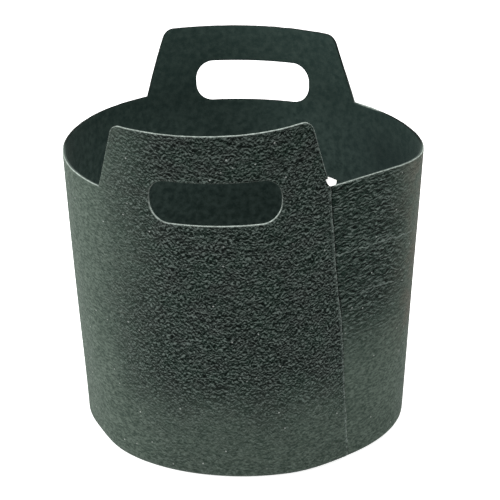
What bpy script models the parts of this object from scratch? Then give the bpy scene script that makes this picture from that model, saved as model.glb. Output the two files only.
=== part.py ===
"""A round felt planting pot with two die-cut carrying handles.

The side wall is one strip of felt, rolled into a slightly tapering tube and bonded to itself at an
upright lap beside the front handle. Its lower edge turns in under a felt base disc. Two tabs, each
with a hand slot, stand up from its rim and bend at their two legs.

Metres, +Z up. The origin is on the floor at the middle of the pot, and -Y runs through the middle
of the front handle. Every felt piece is first laid out flat, with U along the strip and V up it,
then rolled into place by wall_point.
"""

import math

import bmesh
import bpy
from mathutils import Matrix, Vector

POT = "fabric_grow_bag"

# The felt and its bonding.
FELT = 0.003
GAP = 0.0003
BOND = 0.0006

# The rolled wall, measured to the middle of the felt.
RIM_RADIUS = 0.1485
BASE_RADIUS = 0.1385
RIM_HEIGHT = 0.250
CORNER_RADIUS = 0.006
HEM_WIDTH = 0.016
COLUMNS = 72
CORNER_ROWS = 4
WALL_ROWS = 4
PLAN_SHIFT = Vector((-0.0020, 0.0028, 0.0))

# The soft wall stands a little out of round, and its rim isn't quite level.
LOBE = 0.0168
LOBE_ANGLE = math.radians(-11.7)
OVAL = 0.0186
OVAL_ANGLE = math.radians(9.1)
BASE_OVAL = 0.0061
BASE_OVAL_ANGLE = math.radians(-4.2)
BASE_LOBE = 0.0017
BASE_LOBE_ANGLE = math.radians(-16)
CORNERS = 0.0029
CORNERS_ANGLE = math.radians(-21.5)
RIM_TILT = 0.0079
RIM_TILT_ANGLE = math.radians(111.6)
LAP_RISE = 0.0107
LAP_RISE_ANGLE = math.radians(-37.1)
LAP_RISE_SPREAD = math.radians(31.3)

# The handles: tabs of the strip, symmetric but for the front one's right foot, where the strip ends.
FRONT_ANGLE = math.radians(-90)
BACK_TURN = math.radians(-176.3)
HANDLE_HEIGHT = 0.0584
HANDLE_FOOT = 0.1039
HANDLE_TOP = 0.0806
HANDLE_CORNER = 0.012
SLOT_HALF_LENGTH = 0.0540
SLOT_HALF_HEIGHT = 0.0184
SLOT_CORNER = 0.0162
FRONT_SLOT_RISE = 0.0005
BACK_SLOT_RISE = 0.0075
LEG_HEIGHT = 0.014

# The tabs lean outwards a little, more at one side than the other, and the front one bows.
FRONT_LEAN = 0.151
FRONT_TWIST = -0.101
FRONT_BOW = -0.138
BACK_LEAN = 0.029
BACK_TWIST = 0.066

# The lap, from the strip's slanting outer end back to its tucked inner end.
SEAM_TOP = 0.0951
SEAM_FOOT = 0.1184
LAP_WIDTH = 0.027
LAP_STEP = FELT + BOND + 2 * GAP
LAP_STEP_RUN = 0.110
LAP_BOND_WIDTH = 0.018
LAP_BOND_MARGIN = 0.006
BEAD_HALF_SIZE = Vector((0.0040, 0.0026, 0.0033))
BEAD_DEPTH = -0.0027

# The base.
DISC_RADIUS = 0.129
BASE_BOND_INNER = 0.1165
BASE_BOND_OUTER = 0.1265

FELT_COLOUR = (0.030, 0.040, 0.036, 1)
INNER_COLOUR = (0.026, 0.036, 0.033, 1)
BOND_COLOUR = (0.72, 0.72, 0.68, 1)

ROUND = 2 * math.pi * RIM_RADIUS
BACK_U = BACK_TURN * RIM_RADIUS
CORNER_TOP = CORNER_RADIUS + FELT / 2
HEM_EDGE = CORNER_TOP - CORNER_RADIUS * math.pi / 2 - HEM_WIDTH
RIM_TOP = RIM_HEIGHT + HANDLE_HEIGHT


def clear_scene():
    for obj in list(bpy.data.objects):
        bpy.data.objects.remove(obj, do_unlink=True)


def new_collection(name):
    collection = bpy.data.collections.new(name)
    bpy.context.scene.collection.children.link(collection)
    return collection


def plain_material(name, colour, roughness):
    material = bpy.data.materials.new(name)
    material.use_nodes = True
    shader = material.node_tree.nodes["Principled BSDF"]
    shader.inputs["Base Color"].default_value = colour
    shader.inputs["Roughness"].default_value = roughness
    shader.inputs["Metallic"].default_value = 0
    return material


def clamp(value):
    return min(max(value, 0.0), 1.0)


def smooth_step(value):
    value = clamp(value)
    return value * value * (3 - 2 * value)


def out_of_round(angle, share):
    """How much longer than nominal the radius is at this angle and this share of the height."""
    rim = LOBE * math.cos(3 * (angle - LOBE_ANGLE)) + OVAL * math.cos(2 * (angle - OVAL_ANGLE))
    rim += CORNERS * math.cos(4 * (angle - CORNERS_ANGLE))
    base = BASE_OVAL * math.cos(2 * (angle - BASE_OVAL_ANGLE))
    base += BASE_LOBE * math.cos(3 * (angle - BASE_LOBE_ANGLE))
    return base + (rim - base) * share


def rim_lift(angle):
    """How far the rim stands above its nominal height at this angle."""
    turn = math.remainder(angle - LAP_RISE_ANGLE, 2 * math.pi)
    tilt = RIM_TILT * math.cos(angle - RIM_TILT_ANGLE)
    return tilt + LAP_RISE * math.exp(-((turn / LAP_RISE_SPREAD) ** 2))


def lap_step(u):
    """How far the strip has moved in, towards its tucked end, to pass behind its outer end."""
    seam = SEAM_FOOT - ROUND
    return LAP_STEP * smooth_step((seam + LAP_STEP_RUN - u) / LAP_STEP_RUN)


def tab_lean(u):
    """How far out of upright the tab at this U leans, as a slope."""
    if u > BACK_U / 2:
        side = u / HANDLE_TOP
        return FRONT_LEAN + FRONT_TWIST * side + FRONT_BOW * side * side
    return BACK_LEAN + BACK_TWIST * (u - BACK_U) / HANDLE_TOP


def profile(v):
    """The felt's inset and height at this V, and the direction that its outer face looks in."""
    if v >= CORNER_TOP:
        return 0.0, v, 1.0, 0.0
    turn = (CORNER_TOP - v) / CORNER_RADIUS
    if turn <= math.pi / 2:
        inset = CORNER_RADIUS * (1 - math.cos(turn))
        return inset, CORNER_TOP - CORNER_RADIUS * math.sin(turn), math.cos(turn), -math.sin(turn)
    beyond = (turn - math.pi / 2) * CORNER_RADIUS
    return CORNER_RADIUS + beyond, FELT / 2, 0.0, -1.0


def wall_point(u, v, n):
    """Where a point of the flat strip goes when it is rolled. N is out of the strip's outer face."""
    angle = FRONT_ANGLE + u / RIM_RADIUS
    inset, height, outward, upward = profile(v)
    share = clamp(height / RIM_HEIGHT)
    radius = BASE_RADIUS + (RIM_RADIUS - BASE_RADIUS) * share
    radius = radius * (1 + out_of_round(angle, share)) - inset - lap_step(u) + n * outward
    radius += tab_lean(u) * max(v - RIM_HEIGHT, 0)
    lifted = clamp((height - CORNER_TOP) / (RIM_HEIGHT - CORNER_TOP))
    z = height + rim_lift(angle) * lifted + n * upward
    return Vector((radius * math.cos(angle), radius * math.sin(angle), z)) + PLAN_SHIFT


def arc(centre, radius, start, end, steps=6):
    """Points on an arc, the angles in degrees."""
    points = []
    for step in range(steps + 1):
        angle = math.radians(start + (end - start) * step / steps)
        points.append((centre[0] + radius * math.cos(angle), centre[1] + radius * math.sin(angle)))
    return points


def circle(radius):
    return arc((0, 0), radius, 0, 360 - 360 / COLUMNS, COLUMNS - 1)


def handle_outline(centre, right_foot):
    """A tab's edge from its right foot, over its two rounded top corners, to its left foot."""
    points = [(centre + right_foot, RIM_HEIGHT)]
    for side, foot in ((1, right_foot), (-1, HANDLE_FOOT)):
        slant = math.degrees(math.atan2(foot - HANDLE_TOP, HANDLE_HEIGHT))
        back = HANDLE_CORNER * math.tan(math.radians(90 - slant) / 2)
        middle = (centre + side * (HANDLE_TOP - back), RIM_TOP - HANDLE_CORNER)
        if side > 0:
            points += arc(middle, HANDLE_CORNER, slant, 90)
        else:
            points += arc(middle, HANDLE_CORNER, 90, 180 - slant)
    points.append((centre - HANDLE_FOOT, RIM_HEIGHT))
    return points


def strip_outline():
    """The whole die-cut strip, anticlockwise from the lower end of its outer edge."""
    tucked_top = SEAM_TOP - LAP_WIDTH - ROUND
    tucked_foot = SEAM_FOOT - LAP_WIDTH - ROUND
    notch = SEAM_FOOT + 2 * GAP - ROUND
    points = [(SEAM_FOOT, HEM_EDGE), (SEAM_FOOT, CORNER_TOP)]
    points += handle_outline(0.0, SEAM_TOP)
    points += handle_outline(BACK_U, HANDLE_FOOT)
    points += [(tucked_top, RIM_HEIGHT), (tucked_foot, CORNER_TOP + FELT)]
    points += [(notch, CORNER_TOP + FELT), (notch, HEM_EDGE)]
    return points


def slot_outline(centre, rise):
    across = SLOT_HALF_LENGTH - SLOT_CORNER
    up = SLOT_HALF_HEIGHT - SLOT_CORNER
    middle = RIM_HEIGHT + rise
    points = arc((centre + across, middle + up), SLOT_CORNER, 0, 90)
    points += arc((centre - across, middle + up), SLOT_CORNER, 90, 180)
    points += arc((centre - across, middle - up), SLOT_CORNER, 180, 270)
    points += arc((centre + across, middle - up), SLOT_CORNER, 270, 360)
    return points


def flat_sheet(outlines, thickness):
    """A closed flat solid as a bmesh: the first outline filled, with the others as holes in it."""
    curve = bpy.data.curves.new("sheet", "CURVE")
    curve.dimensions = "2D"
    curve.fill_mode = "BOTH"
    curve.extrude = thickness / 2
    for outline in outlines:
        spline = curve.splines.new("POLY")
        spline.points.add(len(outline) - 1)
        for point, (x, y) in zip(spline.points, outline):
            point.co = (x, y, 0, 1)
        spline.use_cyclic_u = True
    source = bpy.data.objects.new("sheet", curve)
    bpy.context.scene.collection.objects.link(source)
    evaluated = source.evaluated_get(bpy.context.evaluated_depsgraph_get())
    mesh = bpy.data.meshes.new_from_object(evaluated)
    bm = bmesh.new()
    bm.from_mesh(mesh)
    bmesh.ops.remove_doubles(bm, verts=bm.verts, dist=1e-6)
    bpy.data.meshes.remove(mesh)
    bpy.data.objects.remove(source, do_unlink=True)
    return bm


def everything(bm):
    return bm.verts[:] + bm.edges[:] + bm.faces[:]


def trim(bm, point, normal):
    """Cuts off what lies on the normal's side of a plane, and closes the cut."""
    cut = bmesh.ops.bisect_plane(
        bm, geom=everything(bm), plane_co=point, plane_no=normal, clear_outer=True
    )
    edges = [item for item in cut["geom_cut"] if isinstance(item, bmesh.types.BMEdge)]
    bmesh.ops.holes_fill(bm, edges=edges)


def crease(bm, axis, places):
    """Divides the sheet along lines at these places, so that it can bend there."""
    for place in places:
        point = Vector((0, 0, 0))
        normal = Vector((0, 0, 0))
        point[axis] = place
        normal[axis] = 1
        bmesh.ops.bisect_plane(bm, geom=everything(bm), plane_co=point, plane_no=normal)


def columns_between(low, high):
    pitch = ROUND / COLUMNS
    first = math.ceil(low / pitch)
    last = math.floor(high / pitch)
    return [pitch * step for step in range(first, last + 1)]


def wall_rows():
    turn = math.pi / 2 * CORNER_RADIUS / CORNER_ROWS
    rows = [CORNER_TOP - turn * step for step in range(CORNER_ROWS + 1)]
    rise = (RIM_HEIGHT - CORNER_TOP) / WALL_ROWS
    return rows + [CORNER_TOP + rise * step for step in range(1, WALL_ROWS)]


def roll(bm, offset=0.0):
    """Rolls a flat sheet into its place in the wall, offset out of the felt's middle."""
    flat = 0.1 * FELT / ROUND
    bmesh.ops.dissolve_limit(bm, angle_limit=flat, verts=bm.verts, edges=bm.edges)
    low = min(vert.co.x for vert in bm.verts)
    high = max(vert.co.x for vert in bm.verts)
    crease(bm, 0, columns_between(low, high))
    crease(bm, 1, wall_rows())
    bmesh.ops.dissolve_degenerate(bm, dist=1e-6, edges=bm.edges)
    bmesh.ops.triangulate(bm, faces=bm.faces)
    for vert in bm.verts:
        vert.co = wall_point(vert.co.x, vert.co.y, vert.co.z + offset)


def finish_piece(name, bm, material, collection, origin=Vector((0, 0, 0))):
    """Makes the named object of a bmesh, with its origin at a point such as its hinge."""
    bmesh.ops.recalc_face_normals(bm, faces=bm.faces)
    if bm.calc_volume(signed=True) < 0:
        bmesh.ops.reverse_faces(bm, faces=bm.faces)
    bmesh.ops.transform(bm, matrix=Matrix.Translation(-origin), verts=bm.verts)
    mesh = bpy.data.meshes.new(name)
    bm.to_mesh(mesh)
    bm.free()
    mesh.shade_smooth()
    mesh.set_sharp_from_angle(angle=math.radians(40))
    mesh.materials.append(material)
    piece = bpy.data.objects.new(name, mesh)
    piece.location = origin
    collection.objects.link(piece)
    return piece


def felt_strip():
    """The flat strip with both tabs, and with both hand slots cut out."""
    slots = [slot_outline(0.0, FRONT_SLOT_RISE), slot_outline(BACK_U, BACK_SLOT_RISE)]
    return flat_sheet([strip_outline()] + slots, FELT)


def cut_from_strip(left, right, low, high):
    """The part of the felt strip inside these limits of U and V."""
    bm = felt_strip()
    trim(bm, (left, 0, 0), (-1, 0, 0))
    trim(bm, (right, 0, 0), (1, 0, 0))
    trim(bm, (0, low, 0), (0, -1, 0))
    trim(bm, (0, high, 0), (0, 1, 0))
    return bm


def hinge_point(centre):
    """The middle of the line through a handle's two legs, at half their height."""
    leg = (SLOT_HALF_LENGTH + HANDLE_FOOT) / 2
    height = RIM_HEIGHT + LEG_HEIGHT / 2
    return (wall_point(centre - leg, height, 0) + wall_point(centre + leg, height, 0)) / 2


def make_wall(material, collection):
    bm = felt_strip()
    trim(bm, (0, RIM_HEIGHT, 0), (0, 1, 0))
    roll(bm)
    finish_piece("wall_strip", bm, material, collection)


def make_handle(name, centre, material, collection):
    """A handle's grip, above its legs, and the two legs that bend."""
    reach = HANDLE_FOOT + FELT
    split = RIM_HEIGHT + LEG_HEIGHT
    grip = cut_from_strip(centre - reach, centre + reach, split, RIM_TOP + FELT)
    roll(grip)
    finish_piece(f"{name}_handle", grip, material, collection, hinge_point(centre))
    for side, left, right in (("left", centre - reach, centre), ("right", centre, centre + reach)):
        leg = cut_from_strip(left, right, RIM_HEIGHT + GAP, split - GAP)
        roll(leg)
        finish_piece(f"{name}_handle_{side}_leg", leg, material, collection)


def make_base_disc(material, collection):
    bm = bmesh.new()
    middle = FELT + BOND + 2 * GAP + FELT / 2
    bmesh.ops.create_cone(
        bm,
        cap_ends=True,
        segments=COLUMNS,
        radius1=DISC_RADIUS,
        radius2=DISC_RADIUS,
        depth=FELT,
        matrix=Matrix.Translation(PLAN_SHIFT + Vector((0, 0, middle))),
    )
    finish_piece("base_disc", bm, material, collection)


def make_base_bond(material, collection):
    bm = flat_sheet([circle(BASE_BOND_OUTER), circle(BASE_BOND_INNER)], BOND)
    place = PLAN_SHIFT + Vector((0, 0, FELT + GAP + BOND / 2))
    bmesh.ops.transform(bm, matrix=Matrix.Translation(place), verts=bm.verts)
    finish_piece("base_bond", bm, material, collection)


def make_lap_bond(material, collection):
    """The adhesive strip between the two layers of the lap."""
    low = CORNER_TOP + FELT + LAP_BOND_MARGIN
    high = RIM_HEIGHT - LAP_BOND_MARGIN
    outline = []
    for v, side in ((low, -1), (low, 1), (high, 1), (high, -1)):
        seam = SEAM_FOOT + (SEAM_TOP - SEAM_FOOT) * (v - CORNER_TOP) / (RIM_HEIGHT - CORNER_TOP)
        outline.append((seam - LAP_WIDTH / 2 + side * LAP_BOND_WIDTH / 2, v))
    bm = flat_sheet([outline], BOND)
    roll(bm, offset=-(FELT + BOND) / 2 - GAP)
    finish_piece("lap_bond", bm, material, collection)


def make_lap_bead(material, collection):
    """The blob of adhesive squeezed out at the top of the lap, in the corner beside the handle."""
    bm = bmesh.new()
    bmesh.ops.create_icosphere(bm, subdivisions=2, radius=1.0)
    u = SEAM_TOP + BEAD_HALF_SIZE.x + GAP
    v = RIM_HEIGHT + BEAD_HALF_SIZE.z + 2 * GAP
    place = wall_point(u, v, BEAD_DEPTH)
    turn = Matrix.Rotation(FRONT_ANGLE + u / RIM_RADIUS + math.pi / 2, 4, "Z")
    size = Matrix.Diagonal(BEAD_HALF_SIZE).to_4x4()
    bmesh.ops.transform(bm, matrix=Matrix.Translation(place) @ turn @ size, verts=bm.verts)
    finish_piece("lap_bead", bm, material, collection)


def main():
    clear_scene()
    pot = new_collection(POT)
    felt = plain_material("felt", FELT_COLOUR, 0.95)
    base_felt = plain_material("base_felt", INNER_COLOUR, 0.95)
    bond = plain_material("bond", BOND_COLOUR, 0.45)
    make_wall(felt, pot)
    make_handle("front", 0.0, felt, pot)
    make_handle("back", BACK_U, felt, pot)
    make_base_disc(base_felt, pot)
    make_base_bond(bond, pot)
    make_lap_bond(bond, pot)
    make_lap_bead(bond, pot)


main()
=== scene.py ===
import math

import bmesh
import bpy
import numpy as np
from mathutils import Matrix, Vector
from mathutils.geometry import delaunay_2d_cdt
from mathutils.kdtree import KDTree


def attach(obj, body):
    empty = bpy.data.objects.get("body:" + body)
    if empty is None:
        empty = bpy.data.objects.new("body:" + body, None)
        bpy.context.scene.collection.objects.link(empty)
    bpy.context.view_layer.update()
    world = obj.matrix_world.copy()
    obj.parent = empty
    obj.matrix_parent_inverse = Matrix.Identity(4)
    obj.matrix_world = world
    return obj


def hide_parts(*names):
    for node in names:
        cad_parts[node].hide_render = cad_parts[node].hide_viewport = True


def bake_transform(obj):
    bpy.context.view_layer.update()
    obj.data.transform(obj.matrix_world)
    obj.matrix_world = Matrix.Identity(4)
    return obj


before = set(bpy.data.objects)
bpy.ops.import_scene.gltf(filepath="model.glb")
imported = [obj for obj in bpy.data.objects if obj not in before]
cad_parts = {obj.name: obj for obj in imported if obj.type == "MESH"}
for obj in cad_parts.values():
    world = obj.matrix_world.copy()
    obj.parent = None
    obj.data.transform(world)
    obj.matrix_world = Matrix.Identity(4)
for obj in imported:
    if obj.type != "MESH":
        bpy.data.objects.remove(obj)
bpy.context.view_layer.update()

# ---------------------------------------------------------------- the strip, as the CAD cuts it
# Lengths are in metres. U runs along the flat strip from the middle of the front handle, V runs
# up it from the floor, and N stands out of its outer face.
FELT = 0.003
GAP = 0.0003
BOND = 0.0006
RIM_RADIUS = 0.1485
BASE_RADIUS = 0.1385
RIM_HEIGHT = 0.250
CORNER_RADIUS = 0.006
HEM_WIDTH = 0.016
PLAN_SHIFT = (-0.0020, 0.0028)
LOBE, LOBE_ANGLE = 0.0168, math.radians(-11.7)
OVAL, OVAL_ANGLE = 0.0186, math.radians(9.1)
BASE_OVAL, BASE_OVAL_ANGLE = 0.0061, math.radians(-4.2)
BASE_LOBE, BASE_LOBE_ANGLE = 0.0017, math.radians(-16)
CORNERS, CORNERS_ANGLE = 0.0029, math.radians(-21.5)
RIM_TILT, RIM_TILT_ANGLE = 0.0079, math.radians(111.6)
LAP_RISE, LAP_RISE_ANGLE = 0.0107, math.radians(-37.1)
LAP_RISE_SPREAD = math.radians(31.3)
FRONT_ANGLE = math.radians(-90)
BACK_TURN = math.radians(-176.3)
HANDLE_HEIGHT = 0.0584
HANDLE_FOOT = 0.1039
HANDLE_TOP = 0.0806
HANDLE_CORNER = 0.012
SLOT_HALF_LENGTH = 0.0540
SLOT_HALF_HEIGHT = 0.0184
SLOT_CORNER = 0.0162
FRONT_SLOT_RISE = 0.0005
BACK_SLOT_RISE = 0.0075
FRONT_LEAN, FRONT_TWIST, FRONT_BOW = 0.151, -0.101, -0.138
BACK_LEAN, BACK_TWIST = 0.029, 0.066
SEAM_TOP = 0.0951
SEAM_FOOT = 0.1184
LAP_WIDTH = 0.027
LAP_STEP = FELT + BOND + 2 * GAP
LAP_STEP_RUN = 0.110
LAP_BOND_WIDTH = 0.018
LAP_BOND_MARGIN = 0.006
DISC_RADIUS = 0.129
ROUND = 2 * math.pi * RIM_RADIUS
BACK_U = BACK_TURN * RIM_RADIUS
CORNER_TOP = CORNER_RADIUS + FELT / 2
HEM_EDGE = CORNER_TOP - CORNER_RADIUS * math.pi / 2 - HEM_WIDTH
RIM_TOP = RIM_HEIGHT + HANDLE_HEIGHT
TUCKED_TOP = SEAM_TOP - LAP_WIDTH - ROUND
TUCKED_FOOT = SEAM_FOOT - LAP_WIDTH - ROUND

# ---------------------------------------------------------------- what only the drawn felt has
SPLIT_U = math.radians(-118) * RIM_RADIUS  # the unseen line where the wall's two halves meet
SPREAD = 1.004
SWAYS = (  # depth, waves around, phase, slant
    (0.00055, 5, 1.1, 2.0),
    (0.00035, 9, -0.7, -3.1),
    (0.00025, 14, 2.3, 5.0),
)
FOOT_DENT = 0.0041
FOOT_DENT_ANGLE = math.radians(-149)
FOOT_DENT_SPREAD = math.radians(14)
LEAN_SOFTENS = 0.010
LEAN_MARGIN, LEAN_FADE = 0.020, 0.030
PRESS_RUN = 0.060
PRESS_TOP, PRESS_FOOT = 0.45, 0.72
PRESS_FOOT_HEIGHT = 0.12
PRESS_RIM_FADE, PRESS_AT_RIM = 0.012, 0.3
DIP_DEPTH, DIP_PLACE, DIP_SPREAD = 0.0024, 0.002, 0.0035
DIP_FROM, DIP_FADE = 0.228, 0.014
SEAM_BOW, SEAM_BOW_FROM, SEAM_BOW_RUN = 0.0030, 0.200, 0.090
NOTCH = SEAM_FOOT + SEAM_BOW + 2 * GAP - ROUND
BEAD_HALF_SIZE = (0.0044, 0.0032, 0.0034)
BEAD_DEPTH = 0.0004
BEAD_OVERLAP = 0.0045
BEAD_RAISED = 0.0024


def smooth(x):
    """A smooth step from 0 to 1."""
    x = np.clip(x, 0.0, 1.0)
    return x * x * (3 - 2 * x)


def noise(x, y, seed):
    """Smooth noise from -1 to 1 over a lattice one unit wide."""
    x, y = np.broadcast_arrays(np.asarray(x, float), np.asarray(y, float))
    i, j = np.floor(x).astype(np.int64), np.floor(y).astype(np.int64)
    fx, fy = x - i, y - j
    fx, fy = fx * fx * (3 - 2 * fx), fy * fy * (3 - 2 * fy)

    def corner(a, b):
        h = (a * 374761393 + b * 668265263 + seed * 974634777) & 0xFFFFFFFF
        h = ((h ^ (h >> 13)) * 1274126177) & 0xFFFFFFFF
        return ((h ^ (h >> 16)) & 0xFFFF) / 32767.5 - 1

    low = corner(i, j) * (1 - fx) + corner(i + 1, j) * fx
    high = corner(i, j + 1) * (1 - fx) + corner(i + 1, j + 1) * fx
    return low * (1 - fy) + high * fy


def turned(angle, start):
    """The angle from start, between half a turn back and half a turn on."""
    return (angle - start + math.pi) % (2 * math.pi) - math.pi


def sway(angle, height):
    """Soft dents of the standing wall, in both of its faces alike."""
    share = np.clip(height / RIM_HEIGHT, 0, 1)
    dent = sum(
        depth * np.sin(waves * angle + phase + slant * share)
        for depth, waves, phase, slant in SWAYS
    )
    from_foot = turned(angle, FOOT_DENT_ANGLE) / FOOT_DENT_SPREAD
    foot = FOOT_DENT * np.exp(-(from_foot**2)) * (1 - share) ** 3
    return dent * np.sin(math.pi * np.clip(share, 0.02, 0.98)) - foot


def tab_lean(u, v):
    """How far out the two tabs lean. They start softly, just below the rim."""
    front, back = u / HANDLE_TOP, (u - BACK_U) / HANDLE_TOP
    slope = np.where(
        u > BACK_U / 2,
        FRONT_LEAN + FRONT_TWIST * front + FRONT_BOW * front**2,
        BACK_LEAN + BACK_TWIST * back,
    )
    across = np.minimum(np.abs(u), np.abs(u - BACK_U))
    slope = slope * smooth((HANDLE_FOOT + LEAN_MARGIN - across) / LEAN_FADE)
    above = v - RIM_HEIGHT
    soft = np.clip(above + LEAN_SOFTENS, 0, 2 * LEAN_SOFTENS) ** 2 / (4 * LEAN_SOFTENS)
    return slope * np.where(above > LEAN_SOFTENS, above, soft)


def seam_line(v):
    """Where the CAD's slanting cut ends the strip at this height."""
    return SEAM_FOOT + (SEAM_TOP - SEAM_FOOT) * (v - CORNER_TOP) / (RIM_HEIGHT - CORNER_TOP)


def seam_bow(v):
    """How far the drawn cut bows past that line, towards its foot."""
    return SEAM_BOW * smooth((SEAM_BOW_FROM - v) / SEAM_BOW_RUN)


def seam(v):
    """Where the drawn cut ends the strip."""
    return seam_line(v) + seam_bow(v)


def pressed(u, v, n):
    """The outer end of the strip is pressed thin against the ply beneath, most at its foot."""
    end = smooth((u - seam(v)) / PRESS_RUN + 1)
    end = end * smooth((RIM_HEIGHT - v) / PRESS_RIM_FADE + PRESS_AT_RIM)
    foot = smooth(1 - v / PRESS_FOOT_HEIGHT)
    thin = end * (PRESS_TOP + (PRESS_FOOT - PRESS_TOP) * foot)
    above = n + FELT / 2
    return np.where(above > 0, above * (1 - thin), above) - FELT / 2


def lap_dip(u, v):
    """The tucked ply dips in a little beside the top of the seam."""
    beside = (u + ROUND - seam(v) - DIP_PLACE) / DIP_SPREAD
    return DIP_DEPTH * np.exp(-(beside**2)) * smooth((v - DIP_FROM) / DIP_FADE)


def roll(u, v, n):
    """Where points of the flat strip go, as an array of XYZ rows."""
    u, v, n = (np.asarray(x, float) for x in (u, v, n))
    n = pressed(u, v, n)
    angle = FRONT_ANGLE + u / RIM_RADIUS
    turn = np.clip((CORNER_TOP - v) / CORNER_RADIUS, 0, math.pi / 2)
    flat = np.clip(CORNER_TOP - v - CORNER_RADIUS * math.pi / 2, 0, None)
    inset = CORNER_RADIUS * (1 - np.cos(turn)) + flat
    height = np.where(v >= CORNER_TOP, v, CORNER_TOP - CORNER_RADIUS * np.sin(turn))
    outward, upward = np.cos(turn), -np.sin(turn)
    share = np.clip(height / RIM_HEIGHT, 0, 1)
    rim = LOBE * np.cos(3 * (angle - LOBE_ANGLE)) + OVAL * np.cos(2 * (angle - OVAL_ANGLE))
    rim += CORNERS * np.cos(4 * (angle - CORNERS_ANGLE))
    base = BASE_OVAL * np.cos(2 * (angle - BASE_OVAL_ANGLE))
    base += BASE_LOBE * np.cos(3 * (angle - BASE_LOBE_ANGLE))
    from_lap = turned(angle, LAP_RISE_ANGLE) / LAP_RISE_SPREAD
    lift = RIM_TILT * np.cos(angle - RIM_TILT_ANGLE) + LAP_RISE * np.exp(-(from_lap**2))
    radius = BASE_RADIUS + (RIM_RADIUS - BASE_RADIUS) * share
    radius = radius * (1 + base + (rim - base) * share)
    radius -= LAP_STEP * smooth((SEAM_FOOT - ROUND + LAP_STEP_RUN - u) / LAP_STEP_RUN)
    radius += sway(angle, height) - inset + n * outward + tab_lean(u, v) - lap_dip(u, v)
    x = radius * np.cos(angle) * SPREAD + PLAN_SHIFT[0]
    y = radius * np.sin(angle) + PLAN_SHIFT[1]
    lifted = np.clip((height - CORNER_TOP) / (RIM_HEIGHT - CORNER_TOP), 0, 1)
    return np.stack([x, y, height + lift * lifted + n * upward], axis=-1)


# ---------------------------------------------------------------- outlines
NO_LENGTH = 1e-7
SHARPEST_MITRE = 0.3


def arc(centre, radius, start, end, steps=18):
    """Points along an arc, from one angle in degrees to another."""
    a = np.radians(np.linspace(start, end, steps + 1))
    return [(centre[0] + radius * math.cos(t), centre[1] + radius * math.sin(t)) for t in a]


def handle_outline(centre, right_foot):
    """A tab's edge above the rim, from its right foot over its top to its left foot."""
    points = [(centre + right_foot, RIM_HEIGHT)]
    for side, foot in ((1, right_foot), (-1, HANDLE_FOOT)):
        slant = math.degrees(math.atan2(foot - HANDLE_TOP, HANDLE_HEIGHT))
        back = HANDLE_CORNER * math.tan(math.radians(90 - slant) / 2)
        middle = (centre + side * (HANDLE_TOP - back), RIM_TOP - HANDLE_CORNER)
        turn = (slant, 90) if side > 0 else (90, 180 - slant)
        points += arc(middle, HANDLE_CORNER, *turn, steps=10)
    return points + [(centre - HANDLE_FOOT, RIM_HEIGHT)]


def slot_outline(centre, rise):
    """A hand slot's edge, clockwise, so that the felt is on its left."""
    across, up = SLOT_HALF_LENGTH - SLOT_CORNER, SLOT_HALF_HEIGHT - SLOT_CORNER
    middle = RIM_HEIGHT + rise
    points = arc((centre + across, middle + up), SLOT_CORNER, 0, 90)
    points += arc((centre - across, middle + up), SLOT_CORNER, 90, 180)
    points += arc((centre - across, middle - up), SLOT_CORNER, 180, 270)
    points += arc((centre + across, middle - up), SLOT_CORNER, 270, 360)
    return points[::-1]


def walk(points, pitch, closed):
    """The same line with its points no further apart than pitch."""
    points = [np.array(p, float) for p in points]
    ends = points[1:] + points[:1] if closed else points[1:]
    line = []
    for a, b in zip(points, ends):
        steps = max(1, math.ceil(np.linalg.norm(b - a) / pitch))
        if np.linalg.norm(b - a) < NO_LENGTH:
            continue
        line += [a + (b - a) * k / steps for k in range(steps)]
    if not closed:
        line.append(points[-1])
    return np.array(line)


def inward(line, closed):
    """Mitred unit normals to the left of a line."""
    step = np.roll(line, -1, axis=0) - line
    step /= np.linalg.norm(step, axis=1)[:, None]
    if not closed:
        step[-1] = step[-2]
    before = np.roll(step, 1, axis=0)
    if not closed:
        before[0] = step[0]
    left = np.stack([-step[:, 1], step[:, 0]], axis=1)
    left_before = np.stack([-before[:, 1], before[:, 0]], axis=1)
    share = 1 + (left * left_before).sum(axis=1)
    normals = (left + left_before) / np.maximum(share, SHARPEST_MITRE)[:, None]
    if not closed:
        normals[[0, -1]] = np.sign(normals[[0, -1]]) * (0, 1)
    return normals


# ---------------------------------------------------------------- felt sheets
# Each ring near a cut edge: how far in from the edge it lies, and how far below the face.
FELT_RINGS = ((0.0010, 0.0), (0.00035, 0.00009), (0.0, 0.00050))
BOND_RINGS = ((0.0004, 0.0), (0.00015, 0.00005), (0.0, 0.00018))
HALF_CUT = 0.3
GRID_CLEARANCE = 0.55
MILLIMETRES = 1000
SMALLEST_AREA = 1e-13
SHARP_ANGLE = math.radians(60)
BATCH = 400
SAME_LINE, SAME_POINT, ON_END = 1e-6, 1e-6, 1e-7
CELL_SIDES = (  # the cell beside, and the side's two ends
    ((0, 1), (0, 0), (0, 1)),
    ((2, 1), (1, 0), (1, 1)),
    ((1, 0), (0, 0), (1, 0)),
    ((1, 2), (0, 1), (1, 1)),
)


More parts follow.
